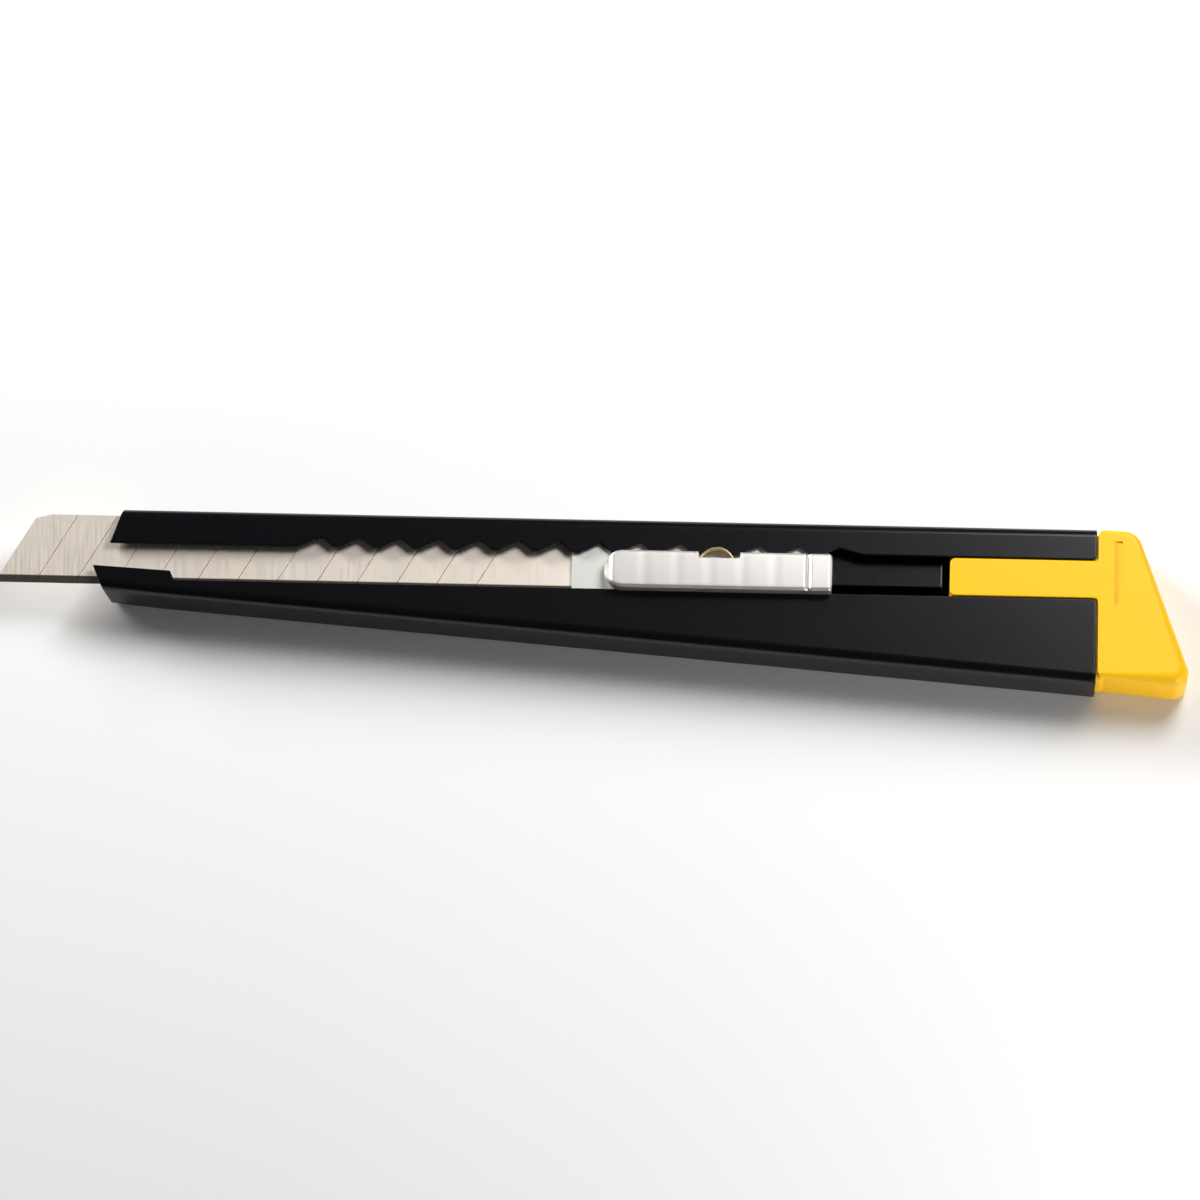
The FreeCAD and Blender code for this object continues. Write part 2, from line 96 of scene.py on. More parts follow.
def turnOut(piece):
    # the signed volume is the sum of a . (b x c) / 6 over triangles: negative means inside out
    mesh = piece.data
    mesh.calc_loop_triangles()
    corners = np.empty(len(mesh.loop_triangles) * 3, np.int32)
    mesh.loop_triangles.foreach_get("vertices", corners)
    places = np.empty(len(mesh.vertices) * 3)
    mesh.vertices.foreach_get("co", places)
    a, b, c = places.reshape(-1, 3)[corners].reshape(-1, 3, 3).transpose(1, 0, 2)
    if np.einsum("ij,ij->", a, np.cross(b, c)) < 0:
        mesh.flip_normals()
    return piece


def loopFaces(rows, columns):
    # quads between neighbouring closed loops, where point (i, j) has number i * columns + j
    i, j = np.meshgrid(np.arange(rows - 1), np.arange(columns), indexing="ij")
    a, b = i * columns + j, i * columns + (j + 1) % columns
    return np.stack([a, b, b + columns, a + columns], -1).reshape(-1, 4)


def endFaces(rows, columns):
    # one flat face over the first loop and one over the last
    ring = np.arange(columns)
    return [[ring[::-1]], [(rows - 1) * columns + ring]]


def smoothShading(piece, degrees):
    # smooth, with a sharp edge where two faces meet at more than the angle
    piece.data.shade_smooth()
    piece.data.set_sharp_from_angle(angle=math.radians(degrees))
    return piece


def combine(piece, other, operation):
    # boolean of two closed pieces, baked into the first; the second is used up
    step = piece.modifiers.new("cut", "BOOLEAN")
    step.operation = operation
    step.solver = "MANIFOLD"
    step.object = other
    result = bpy.data.meshes.new_from_object(
        piece.evaluated_get(bpy.context.evaluated_depsgraph_get()))
    piece.modifiers.clear()
    piece.data = result
    bpy.data.objects.remove(other)
    return piece


def roundedOutline(corners, inset=0.0, steps=8):
    # closed outline through corners (x, down, radius), each turned by an arc.  Inset moves the
    # outline inwards: a convex arc loses that much radius, a hollow one gains it.  Also gives
    # the unit normal that points inwards
    places = np.array([corner[:2] for corner in corners], float)
    radii = np.array([corner[2] for corner in corners], float)
    back = np.roll(places, 1, 0) - places
    on = np.roll(places, -1, 0) - places
    back /= np.linalg.norm(back, axis=1, keepdims=True)
    on /= np.linalg.norm(on, axis=1, keepdims=True)
    area = np.sum(places[:, 0] * np.roll(places[:, 1], -1) - np.roll(places[:, 0], -1) * places[:, 1])
    turn = np.sign(area)
    cross = -back[:, 0] * on[:, 1] + back[:, 1] * on[:, 0]
    bulge = np.sign(cross) * turn            # 1 at a convex corner, -1 at a hollow one
    half = np.arccos(np.clip(np.sum(back * on, 1), -1, 1)) / 2
    middle = (back + on) / np.linalg.norm(back + on, axis=1, keepdims=True)
    centre = places + middle * (radii / np.sin(half))[:, None]
    share = np.linspace(0, 1, steps)
    startAngle = half - math.pi / 2
    angle = (startAngle * np.sign(cross))[:, None] * (1 - 2 * share)
    away = -middle
    cos, sin = np.cos(angle), np.sin(angle)
    outward = np.stack([away[:, :1] * cos - away[:, 1:] * sin,
                        away[:, :1] * sin + away[:, 1:] * cos], -1)
    radius = (radii - bulge * inset)[:, None, None]
    outline = centre[:, None, :] + outward * radius
    inward = -outward * bulge[:, None, None]
    return outline.reshape(-1, 2), inward.reshape(-1, 2)


def roundedSlab(name, corners, low, high, rims):
    # solid between two heights over a rounded outline.  Each loop of its grid is the outline
    # moved in by a distance at a height: a quarter circle out and up, straight up, and a quarter
    # circle in and over.  rims gives the low and the high rim's radius, each one number or one
    # for each outline point; a rim of 0 is left sharp
    outline, inward = roundedOutline(corners)
    lowRim, highRim = (np.broadcast_to(rim, len(outline)) for rim in rims)
    turn = np.linspace(0, math.pi / 2, 7)[:, None]
    lowTurn = turn if lowRim.any() else turn[-1:]
    highTurn = turn if highRim.any() else turn[:1]
    strip = 0.04                              # narrow faces beside each rim keep the rest flat
    moveIn = np.concatenate([
        lowRim[None] + strip, lowRim * (1 - np.sin(lowTurn)), np.zeros((2, len(outline))),
        highRim * (1 - np.cos(highTurn)), highRim[None] + strip])
    height = np.concatenate([
        low + 0 * lowRim[None], low + lowRim * (1 - np.cos(lowTurn)),
        [low + lowRim + strip, high - highRim - strip],
        high - highRim * (1 - np.sin(highTurn)), high + 0 * highRim[None]])
    plan = outline + inward * moveIn[..., None]
    rows, columns = moveIn.shape
    points = toFrame(plan[..., 0], plan[..., 1], height)
    return newPiece(name, points, [loopFaces(rows, columns), *endFaces(rows, columns)])


def linear(hexText):
    # sRGB hex to linear light
    values = [int(hexText[k:k + 2], 16) / 255 for k in (0, 2, 4)]
    return (*(v / 12.92 if v <= 0.04045 else ((v + 0.055) / 1.055) ** 2.4 for v in values), 1.0)


def perMetre(millimetres):
    # pattern scale on coordinates in metres for a feature of this size
    return 1000.0 / millimetres


def addNode(tree, kind, settings, links=None):
    # settings set attributes, or inputs by name or number; links feed inputs from sockets
    node = tree.nodes.new(kind)
    for key, value in settings.items():
        if isinstance(key, str) and hasattr(node, key):
            setattr(node, key, value)
        else:
            node.inputs[key].default_value = value
    for key, socket in (links or {}).items():
        tree.links.new(socket, node.inputs[key])
    return node


def makeFinish(name, look):
    # a principled shader whose colour drifts between two close tones over look["drift"], whose
    # roughness follows a fine pattern, and whose normal carries the same pattern as a relief.
    # The pattern is noise, drawn out along any axis that has the larger size in look["grain"]
    material = bpy.data.materials.new(name)
    material.use_nodes = True
    tree = material.node_tree
    tree.nodes.clear()
    shader = addNode(tree, "ShaderNodeBsdfPrincipled", {
        "Metallic": look["metallic"], "Roughness": look["roughness"], **look.get("more", {})})
    addNode(tree, "ShaderNodeOutputMaterial", {}, {"Surface": shader.outputs["BSDF"]})
    place = addNode(tree, "ShaderNodeTexCoord", {}).outputs["Object"]
    grainPlace = addNode(tree, "ShaderNodeMapping", {
        "Scale": [perMetre(mm) for mm in look["grain"]],
        "Rotation": (0, 0, math.radians(look.get("turn", 0)))}, {"Vector": place})
    grain = addNode(tree, "ShaderNodeTexNoise", {
        "Scale": 1.0, "Detail": 3.0, "Roughness": 0.55}, {"Vector": grainPlace.outputs["Vector"]})
    drift = addNode(tree, "ShaderNodeTexNoise", {
        "Scale": perMetre(look["drift"]), "Detail": 2.0}, {"Vector": place})
    colour = addNode(tree, "ShaderNodeMix", {
        "data_type": "RGBA", 6: linear(look["colour"]), 7: linear(look["otherColour"])},
        {0: drift.outputs["Fac"]})
    rough = addNode(tree, "ShaderNodeMapRange", {
        "From Min": 0.3, "From Max": 0.7, "To Min": look["roughness"] - look["spread"],
        "To Max": look["roughness"] + look["spread"]}, {"Value": grain.outputs["Fac"]})
    relief = addNode(tree, "ShaderNodeBump", {
        "Distance": look["relief"] / 1000}, {"Height": grain.outputs["Fac"]})
    tree.links.new(colour.outputs[2], shader.inputs["Base Color"])
    tree.links.new(rough.outputs["Result"], shader.inputs["Roughness"])
    tree.links.new(relief.outputs["Normal"], shader.inputs["Normal"])
    return material


# stoved enamel, sprayed and baked: near-black satin with a faint orange peel
stovedEnamel = makeFinish("stovedBlackEnamel", {
    "colour": "08080C", "otherColour": "0A0A0F", "metallic": 0.0, "roughness": 0.25,
    "spread": 0.02, "grain": (0.4, 0.4, 0.4), "relief": 0.0012, "drift": 9.0,
    "more": {"IOR": 1.5, "Specular IOR Level": 0.32}})

# injection-moulded ABS: even warm yellow, satin from the mould's fine spark texture
mouldedPlastic = makeFinish("mouldedYellowPlastic", {
    "colour": "FFC206", "otherColour": "FFC60A", "metallic": 0.0, "roughness": 0.42,
    "spread": 0.05, "grain": (0.3, 0.3, 0.3), "relief": 0.006, "drift": 7.0,
    "more": {"IOR": 1.54, "Specular IOR Level": 0.25, "Subsurface Weight": 0.1,
             "Subsurface Scale": 0.0008, "Subsurface Radius": (1.0, 0.45, 0.05)}})

# pressed steel with satin nickel plate: bright, softly blurred
nickelPlate = makeFinish("satinNickelPlate", {
    "colour": "DDDAD6", "otherColour": "D7D3CF", "metallic": 1.0, "roughness": 0.5,
    "spread": 0.04, "grain": (2.5, 0.25, 0.6), "relief": 0.002, "drift": 4.0})

# cold-rolled sheet: a little cooler than the plate, with rolling lines along the strip
rolledSteel = makeFinish("coldRolledSheet", {
    "colour": "DEDFDA", "otherColour": "D4D5CF", "metallic": 1.0, "roughness": 0.55,
    "spread": 0.05, "grain": (4.0, 0.2, 0.6), "relief": 0.002, "drift": 5.0})

# carbon steel, surface ground across the strip: warm white with fine cross lines
groundBladeSteel = makeFinish("groundBladeSteel", {
    "colour": "EEE5DB", "otherColour": "E6DCCF", "metallic": 1.0, "roughness": 0.56,
    "spread": 0.06, "grain": (0.22, 5.0, 1.0), "relief": 0.002, "drift": 6.0})

# painted reflection in the blade's bevel: the middle of its line, the width of its soft side and its
# dark colour
bevelReflectionPaint = {
    "down": 8.77,            # middle of the change, measured like every "down"
    "fade": 0.15, "colour": "5E544C",
}


def paintBevelReflection(material):
    # paints a reflection: a dark colour on the cutting side of one line along the blade, standing in
    # for the bevel's reflection of the dark side of the room, laid on by position: its share rises
    # evenly from 0 to 1 over the fade
    middleY, fade = (topY - bevelReflectionPaint["down"]) / 1000, bevelReflectionPaint["fade"] / 1000
    tree = material.node_tree
    shader = tree.nodes["Principled BSDF"]
    plain = shader.inputs["Base Color"].links[0].from_socket
    place = addNode(tree, "ShaderNodeTexCoord", {}).outputs["Object"]
    split = addNode(tree, "ShaderNodeSeparateXYZ", {}, {"Vector": place})
    onEdge = addNode(tree, "ShaderNodeMapRange", {
        "From Min": middleY + fade / 2, "From Max": middleY - fade / 2},
        {"Value": split.outputs["Y"]})
    colour = addNode(tree, "ShaderNodeMix", {
        "data_type": "RGBA", 7: linear(bevelReflectionPaint["colour"])},
        {0: onEdge.outputs["Result"], 6: plain})
    tree.links.new(colour.outputs[2], shader.inputs["Base Color"])


# painted reflection on the honed bevel: a thin dark line along the cutting edge, painted where the
# bevel mirrors the dark side of the room
paintBevelReflection(groundBladeSteel)

# tempered strip: straw-coloured oxide over steel
temperedSpringSteel = makeFinish("strawTemperedSteel", {
    "colour": "DCCB9A", "otherColour": "C9B783", "metallic": 1.0, "roughness": 0.34,
    "spread": 0.05, "grain": (1.5, 1.5, 0.2), "relief": 0.002, "drift": 2.0})


def dress(piece, material):
    piece.data.materials.clear()
    piece.data.materials.append(material)
    return piece


for nodeName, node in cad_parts.items():
    if nodeName.startswith(("blade_segment", "blade_tail")):
        dress(node, groundBladeSteel)
for nodeName in ("blade_carrier", "blade_pin", "slider_rivets"):
    dress(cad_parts[nodeName], rolledSteel)
print("materials made")


# the body: one folded sheet with two side walls, two lips, a row of notches and a pressed rib
channel = {
    "length": 126.2, "rearWidth": 20.4, "frontWidth": 10.6, "depth": 7.2, "sheet": 0.6,
    "bend": 1.2,             # outside radius of the four long bends
    "slotTop": 4.6, "slotBottom": 9.4, "slotRearRise": 0.35,
    "lipStart": 2.1, "lipSlant": 70.7,                    # front edge of the upper lip
    "tabHeight": 1.75, "tabRise": 3.2, "tabLength": 9.7, "tabFoot": 0.7,
    "tipRun": 1.2, "noseSetBack": 1.3, "noseSlant": 78.0, "noseFade": 8.5,
    "firstNotch": 28.75, "pitch": 5.0, "notches": 14, "notchDepth": 1.25,
    "steepRun": 1.55, "toothFlat": 0.8, "homeRunShare": 1.9,
    "rootRound": 0.14, "toothRound": 0.2, "homeRound": 0.5,   # as a difference of heights
    "ribTop": 5.4, "ribHalf": 2.6, "ribFlank": 0.9, "ribFront": 9.0, "ribRear": 106.85,
    "ribShoulder": 0.12,     # rounding of the rib's shoulders, as a share of its height
    "rim": 0.14,             # rounding of the sheet's cut edges
    "rimFullness": 1.6,      # above 1 the lips' rims are fuller than a half ellipse
    "rearCorner": 0.65,      # the lips' corners at the cap
    "edgeStrip": 0.05,       # narrow faces beside each bend
}


def widthAt(x):
    # straight from the front width to the rear width
    c = channel
    return c["frontWidth"] + (c["rearWidth"] - c["frontWidth"]) * x / c["length"]


def rearRounding(x):
    # a quarter circle: how far each lip's edge draws back near the cap
    r = channel["rearCorner"]
    past = np.clip(x - (channel["length"] - r), 0, r)
    return r - np.sqrt(np.maximum(r * r - past * past, 0))


def upperLipEdge(x):
    # slotTop, less a V at each notch.  A V's edge is the lower one of two straight flanks; its
    # root and the teeth beside it are rounded by smoothMax and smoothMin
    c = channel
    edge = np.full_like(x, c["slotTop"])
    gentleRun = c["pitch"] - c["steepRun"] - c["toothFlat"]
    for k in range(c["notches"]):
        root = c["firstNotch"] + k * c["pitch"]
        home = k == c["notches"] - 1
        rise = c["slotRearRise"] if home else 0.0
        run = c["steepRun"] * (c["homeRunShare"] if home else 1)
        steep = (x - root) * (c["notchDepth"] - rise) / run
        gentle = (root - x) * c["notchDepth"] / gentleRun
        sink = smoothMax(steep, gentle, c["homeRound"] if home else c["rootRound"])
        flat = c["slotTop"] - np.where(x > root, rise, 0.0)
        valley = smoothMin(c["slotTop"] - c["notchDepth"] + sink, flat, c["toothRound"])
        edge = np.minimum(edge, valley)
    return edge - rearRounding(x)


def lowerLipEdge(x):
    # slotBottom, and ahead of tabLength a tab whose top falls gently from tabHeight
    c = channel
    tab = c["tabHeight"] - math.tan(math.radians(c["tabRise"])) * x
    edge = c["slotBottom"] - tab * (1 - smoothStep(x, c["tabLength"], c["tabLength"] + c["tabFoot"]))
    return edge + rearRounding(x)


def frontEdge(down, z, upperHalf):
    # x where the sheet starts: the two lips at z = depth, the back at z = 0, and straight
    # slanting lines between them on the side walls
    c = channel
    lip = c["lipStart"] + (c["slotTop"] - down) / math.tan(math.radians(c["lipSlant"]))
    tabTop = c["slotBottom"] - c["tabHeight"]
    tab = c["tipRun"] * np.clip((down - tabTop) / (c["frontWidth"] - tabTop), 0, 1)
    noseSlant = math.tan(math.radians(c["noseSlant"]))
    back = c["tipRun"] + c["noseSetBack"] + (c["frontWidth"] - down) / noseSlant
    share = z / c["depth"]
    return back * (1 - share) + np.where(upperHalf, lip, tab) * share


def channelStations():
    # close together at the ends, the tab's foot, the rib's rear end and round each notch.  The
    # numbers here only space the stations, in millimetres: none of them is a size of the knife
    c = channel
    rim = c["rim"] * (1 - np.cos(np.linspace(0, math.pi / 2, 5)))
    front = np.concatenate([rim, [0.3], np.arange(0.8, 7.9, 0.55)])
    tab = np.arange(8.05, 10.9, 0.12)
    plain = np.arange(11.6, c["firstNotch"] - 3.4, 1.2)
    gentleRun = c["pitch"] - c["steepRun"] - c["toothFlat"]
    oneNotch = np.concatenate([
        np.linspace(-gentleRun - 0.45, -gentleRun + 0.5, 8), np.linspace(-gentleRun + 0.9, -0.6, 4),
        np.linspace(-0.4, 0.35, 8), np.linspace(0.6, c["steepRun"] - 0.35, 2),
        np.linspace(c["steepRun"] - 0.2, c["steepRun"] + 0.25, 4)])
    notches = (c["firstNotch"] + c["pitch"] * np.arange(c["notches"])[:, None] + oneNotch).ravel()
    home = c["firstNotch"] + c["pitch"] * (c["notches"] - 1)
    behind = np.arange(home + c["steepRun"] + 0.4, c["ribRear"] - 1.0, 0.35)
    ribEnd = np.arange(c["ribRear"] - 0.3, c["ribRear"] + c["ribFlank"] + 0.4, 0.12)
    rear = np.arange(ribEnd[-1] + 1.0, c["length"] - 1.2, 1.5)
    corner = c["length"] - c["rearCorner"] * (1 - np.sin(np.linspace(0, 0.62, 6)))
    return np.concatenate([front, tab, plain, notches, behind, ribEnd, rear, corner,
                           c["length"] - rim[::-1]])


def ribHeight(x, down, half):
    # pressed rib: a trapezoid across the channel and along it, with rounded shoulders
    c = channel
    across = (half + c["ribFlank"] - np.abs(down - bladeMiddle)) / c["ribFlank"]
    along = np.minimum(x - c["ribFront"], c["ribRear"] - x) / c["ribFlank"] + 1
    shape = smoothMin(smoothMin(across, along, c["ribShoulder"]), 1.0, c["ribShoulder"])
    return (c["ribTop"] - c["sheet"]) * smoothMax(shape, 0.0, c["ribShoulder"])


def sheetFace(x, depthIn, ribHalf):
    # one face of the folded sheet, depthIn below the outside: columns of down, z and whether
    # they belong to the upper half.  It runs over the upper lip, round two bends, across the
    # back, round two more bends and over the lower lip.  x and depthIn are columns of stations
    c = channel
    width = widthAt(x)
    bend, strip = c["bend"], c["edgeStrip"]
    radius = bend - depthIn
    one = np.ones_like(x)
    level = np.ones(4)       # one for each point of a flat stretch
    turn = np.linspace(0, math.pi / 2, 9)
    cos, sin = np.cos(turn), np.sin(turn)

    def flat(start, end, shares=(0.3, 0.7)):
        # from start to end, with a narrow strip at both ends
        toEnd = np.sign(end - start) * strip
        inner = [start + toEnd + (end - start - 2 * toEnd) * s for s in shares]
        return np.concatenate([start + toEnd, *inner, end - toEnd], 1)

    edgeIn = c["rim"] * one
    upperEdge = upperLipEdge(x) - edgeIn
    lowerEdge = lowerLipEdge(x) + edgeIn
    high, low = (c["depth"] - bend) * one, bend * one
    shoulder = np.linspace(-0.2, 0.2, 7)
    offsets = np.concatenate([
        ribHalf * np.array([0.3, 0.8]), ribHalf + shoulder, ribHalf + c["ribFlank"] + shoulder])
    ribDown = one * (bladeMiddle + np.concatenate([-offsets[::-1], [0.0], offsets]))
    backDown = np.concatenate([(bend + strip) * one, ribDown,
                               width - bend - (width - bend - ribDown[:, -1:]) * [[0.6]],
                               width - bend - strip], 1)
    downs = [
        upperEdge, flat(upperEdge, bend * one), bend - radius * sin,
        depthIn * level, bend - radius * cos,
        backDown, width - bend + radius * sin,
        width - depthIn * level, width - bend + radius * cos,
        flat(width - bend, lowerEdge), lowerEdge]
    zs = [
        c["depth"] - depthIn, (c["depth"] - depthIn) * level, c["depth"] - bend + radius * cos,
        flat(high, low), bend - radius * sin,
        depthIn + ribHeight(x, backDown, ribHalf), bend - radius * cos,
        flat(low, high), c["depth"] - bend + radius * sin,
        (c["depth"] - depthIn) * level, c["depth"] - depthIn]
    down = np.concatenate(downs, 1)
    z = np.concatenate(zs, 1)
    upperHalf = np.arange(down.shape[1]) < down.shape[1] // 2
    return down, z, upperHalf


def makeBodyShell():
    # One sheet as a closed grid: stations along x times a loop round the sheet, out along its
    # outer face, round the lower lip's rim, back along its inner face and round the upper lip's
    # rim.  Towards both ends the two faces draw together by the rim's radius
    c = channel
    x = channelStations()[:, None]
    fromEnd = np.minimum(x, c["length"] - x)
    draw = c["rim"] - np.sqrt(np.maximum(c["rim"] ** 2 - np.maximum(c["rim"] - fromEnd, 0) ** 2, 0))
    outer, outerZ, upperHalf = sheetFace(x, draw, c["ribHalf"] - c["sheet"])
    inner, innerZ, _ = sheetFace(x, c["sheet"] - draw, c["ribHalf"])
    turn = np.linspace(0, math.pi, 9)[1:-1]
    halfSheet = c["sheet"] / 2 - draw
    rimOut = c["rim"] * np.minimum(np.sin(turn) * c["rimFullness"], 1.0)
    rimZ = c["depth"] - c["sheet"] / 2 + halfSheet * np.cos(turn)
    down = np.concatenate([outer, outer[:, -1:] - rimOut, inner[:, ::-1], inner[:, :1] + rimOut], 1)
    z = np.concatenate([outerZ, rimZ, innerZ[:, ::-1], rimZ[:, ::-1]], 1)
    rims = np.zeros(len(turn), bool)
    upper = np.concatenate([upperHalf, rims, upperHalf[::-1], ~rims])
    fade = np.clip(1 - x / c["noseFade"], 0, 1)
    points = toFrame(x + frontEdge(down, z, upper) * fade, down, z)
    rows, columns = down.shape
    m, k = outer.shape[1], len(turn)
    j = np.arange(m - 1)
    ladder = np.stack([j, j + 1, 2 * m + k - 2 - j, 2 * m + k - 1 - j], -1)   # across the sheet
    lowerRim = np.arange(m - 1, m + k + 1)[None]
    upperRim = np.append(np.arange(2 * m + k - 1, columns), 0)[None]
    first = [block[:, ::-1] for block in (ladder, lowerRim, upperRim)]
    last = [(rows - 1) * columns + block[:, ::-1] for block in first]
    shell = newPiece("bodyShell", points, [loopFaces(rows, columns), *first, *last])
    return smoothShading(shell, degrees=40)


bodyShell = dress(makeBodyShell(), stovedEnamel)
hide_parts("body_channel")
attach(bodyShell, "handle")
print("body folded:", len(bodyShell.data.polygons), "faces")


# the cap: a moulded head with a tongue in the slot and a plug in the channel
cap = {
    "headEdge": 0.8,          # rounding of the head's face edges
    "lowerEdge": 1.5,         # more along its lower edge
    "channelEdge": 0.3,       # less beside the channel
    "headBlend": (0.3, 1.6), "channelBlend": (-0.1, 0.3),     # where one rounding turns into
    "lowerBlend": (-2.6, -0.4),                               # the next
    "gapToChannel": 0.15, "headLength": 4.9, "endSlant": 20.0,
    "topInset": 0.15, "bottomInset": 1.05, "bottomFall": 6.05,
    "corners": [0.9, 2.45, 1.8, 0.5],
    "tongueRound": 0.7, "tongueEdge": 0.22, "hollowCorner": 0.35,
    "fit": 0.08, "partingHeight": 5.4, "partingStep": 0.004, "layerOverlap": 0.4,
    "plugWall": 0.68, "plugRound": 0.6, "plugCorner": 0.7, "plugInHead": 1.0,
    "panel": [1.05, 8.4, 0.22], "panelPlace": [2.2, 1.55], "panelRound": 0.2,
    "panelRim": 0.1, "panelOver": 0.5,
    "slit": [10.0, 1.0, 6.0], "slitFromTop": 4.4, "slitRound": 0.15, "slitRim": 0.2,
}


def headCorners():
    # straight top edge, slanted end, falling bottom edge, square left side
    c = cap
    start = channel["length"] + c["gapToChannel"]
    slant = math.tan(math.radians(c["endSlant"]))
    fall = math.tan(math.radians(c["bottomFall"]))
    top, bottom = c["topInset"], channel["rearWidth"] - c["bottomInset"]
    run = (c["headLength"] + slant * (bottom - top)) / (1 - slant * fall)
    return [(start, top, c["corners"][0]), (start + c["headLength"], top, c["corners"][1]),
            (start + run, bottom + fall * run, c["corners"][2]), (start, bottom, c["corners"][3])]


def makeCap():
    # Three closed solids united: the upper layer with head and tongue in one outline, the head
    # below its parting line, and the plug.  Then the panel and the snapper slit are cut
    c = cap
    front, _, _, _, low, face = nodeBox("end_cap")
    head = headCorners()
    upperSide = channel["slotTop"] - channel["slotRearRise"] + c["fit"]
    lowerSide = channel["slotBottom"] - c["fit"]
    start = head[0][0]
    outline = [head[0], head[1], head[2], head[3],
               (start, lowerSide, c["hollowCorner"]), (front, lowerSide, c["tongueRound"]),
               (front, upperSide, c["tongueRound"]), (start, upperSide, c["hollowCorner"])]

    def blend(values, origin, name):
        # 0 to 1 over the named stretch, which is measured from the origin
        return smoothStep(values, origin + c[name][0], origin + c[name][1])

    plan, _ = roundedOutline(outline)
    onHead = blend(plan[:, 0], start, "headBlend")
    onChannelSide = blend(plan[:, 0], start, "channelBlend")
    edge = c["tongueEdge"] + (c["channelEdge"] - c["tongueEdge"]) * onChannelSide
    onLowerEdge = blend(plan[:, 1], head[3][1], "lowerBlend")
    edge += (c["headEdge"] + (c["lowerEdge"] - c["headEdge"]) * onLowerEdge - edge) * onHead
    layer = roundedSlab("capMoulding", outline, c["partingHeight"], face, (0.0, edge))
    plan, _ = roundedOutline(head)
    onHead = blend(plan[:, 0], start, "headBlend")
    lowEdge = c["channelEdge"] + (c["headEdge"] - c["channelEdge"]) * onHead
    step = c["partingStep"]
    inner = [(x + (step if x == start else -step), down + (step if k < 2 else -step), r)
             for k, (x, down, r) in enumerate(head)]
    lower = roundedSlab(
        "capLower", inner, low, c["partingHeight"] + c["layerOverlap"], (lowEdge, 0.0))
    combine(layer, lower, "UNION")
    wall = c["plugWall"]
    r = c["plugCorner"]
    plugEnd = start + c["plugInHead"]
    plug = roundedSlab("capPlug", [
        (front, wall, r), (plugEnd, wall, r),
        (plugEnd, widthAt(plugEnd) - wall, r), (front, widthAt(front) - wall, r)],
        wall, channel["depth"] - wall, (c["plugRound"], c["plugRound"]))
    combine(layer, plug, "UNION")
    width, height, depth = c["panel"]
    left = channel["length"] + c["panelPlace"][0]
    top = head[0][1] + c["panelPlace"][1]
    r = c["panelRound"]
    panel = roundedSlab("capPanel", [
        (left, top, r), (left + width, top, r), (left + width, top + height, r),
        (left, top + height, r)],
        face - depth, face + c["panelOver"], (c["panelRim"], 0.0))
    combine(layer, panel, "DIFFERENCE")
    length, thick, deep = c["slit"]
    along = np.array([head[2][0] - head[1][0], head[2][1] - head[1][1]])
    along /= np.linalg.norm(along)
    inward = np.array([-along[1], along[0]])
    begin = np.array(head[1][:2]) + along * c["slitFromTop"]
    places = [begin - inward, begin + along * length - inward,
              begin + along * length + inward * deep, begin + inward * deep]
    slit = roundedSlab(
        "capSlit", [(*place, c["slitRound"]) for place in places],
        (channel["depth"] - thick) / 2, (channel["depth"] + thick) / 2,
        (c["slitRim"], c["slitRim"]))
    combine(layer, slit, "DIFFERENCE")
    return smoothShading(layer, degrees=32)


capMoulding = dress(makeCap(), mouldedPlastic)
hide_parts("end_cap")
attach(capMoulding, "cap")
print("cap moulded:", len(capMoulding.data.polygons), "faces")


# the thumb piece: a pressed cover over the slot, with a neck down into it
thumb = {
    "noseSlope": 0.7, "noseFoot": 0.25,     # length of the nose's slope, height of its foot
    "noseBlend": 0.9,                       # rounding above the slope, as a difference of heights
    "noseRound": 0.47,                      # plan radius of the nose as a share of the width
    "rearRound": 0.35, "rearFall": 0.5,     # fall for each millimetre of the rear rounding
    "edge": 0.42, "edgeShare": 0.8,         # the edge takes at most this part of height or width
    "leastHeight": 0.1,
    "grooves": 5, "groovePitch": 4.1, "firstGroove": 5.05, "grooveDepth": 0.02,
    "grooveShare": 0.55,                    # part of the pitch taken by a groove
    "rearGroove": 3.0, "rearGrooveWidth": 0.9, "rearGrooveDepth": 0.3,
    "skirt": 7.3, "neckFront": 0.6, "neckRear": 0.3, "neckGap": 0.15, "neckCorner": 1.2,
    "neckRearCorner": 0.3, "neckOverlap": 0.2, "neckRims": (0.1, 0.05),
    "windowWidth": 5.25, "windowDepth": 0.92, "windowRound": 0.3, "windowMouth": 0.1,
    "windowShift": 0.3,                     # the window's middle lies this far behind the loop's
    "windowOver": (2.0, 0.5, 1.0),          # how far its cutter stands out aside, below, above
    "crown": 0.03,                          # the top's middle stands this much above its sides
}


def thumbTop(x, front, rear, top):
    # height of the thumb piece's top: a straight nose slope blended into a flat top, which has
    # shallow cosine grooves and one deeper groove ahead of its rear band
    t = thumb
    fromFoot = x - front
    rise = top - t["skirt"] - t["noseFoot"]
    slope = t["skirt"] + t["noseFoot"] + rise * fromFoot / t["noseSlope"]
    height = smoothMin(slope, top + 0 * x, t["noseBlend"])

    def groove(middle, width, depth):
        # one wave of a cosine: depth at the middle, 0 at half the width to each side
        u = (x - middle) / (width / 2)
        return depth * 0.5 * (1 + np.cos(math.pi * np.clip(u, -1, 1)))

    for k in range(t["grooves"]):
        middle = front + t["firstGroove"] + k * t["groovePitch"]
        height = height - groove(middle, t["groovePitch"] * t["grooveShare"], t["grooveDepth"])
    return height - groove(rear - t["rearGroove"], t["rearGrooveWidth"], t["rearGrooveDepth"])


